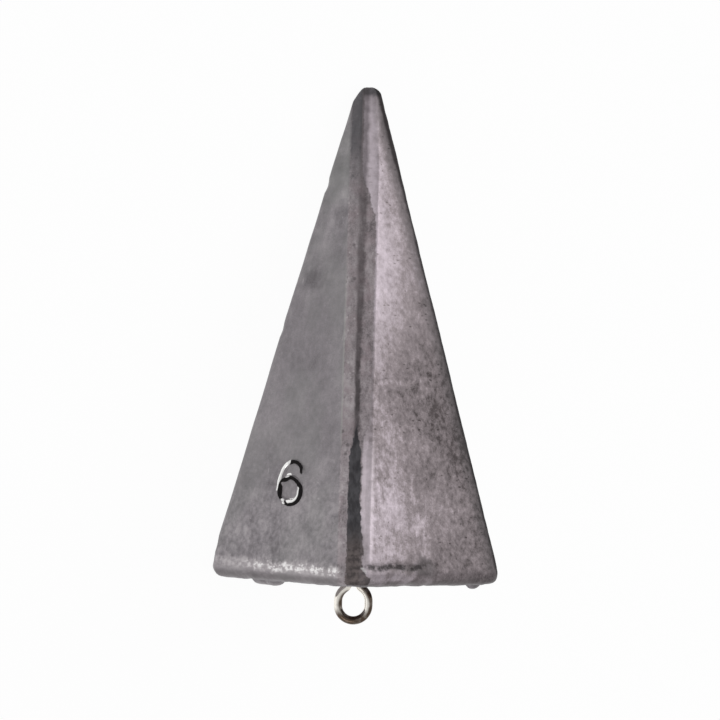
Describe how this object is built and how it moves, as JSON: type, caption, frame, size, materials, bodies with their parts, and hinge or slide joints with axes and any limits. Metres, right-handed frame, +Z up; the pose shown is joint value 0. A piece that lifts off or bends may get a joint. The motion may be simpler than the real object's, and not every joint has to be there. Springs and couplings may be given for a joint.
{
  "type": "pyramid fishing sinker",
  "caption": "Cast lead pyramid sinker with rounded ridges, a raised weight numeral and a small wire eye in its base for tying it to a fishing line.",
  "frame": {"origin": "on the table under the middle of the sinker as it lies on one sloping face", "axes": "tip towards -X and wire eye towards +X, the numeral's face towards -Y, +Z up from the face it lies on"},
  "size_m": [0.064, 0.0258, 0.0254],
  "materials": {
    "cast_lead": "dull cast lead, mottled grey",
    "eye_wire": "tarnished drawn wire"
  },
  "bodies": {
    "root": {"lead_body": "cast_lead", "wire_eye": "eye_wire"}
  },
  "joints": []
}
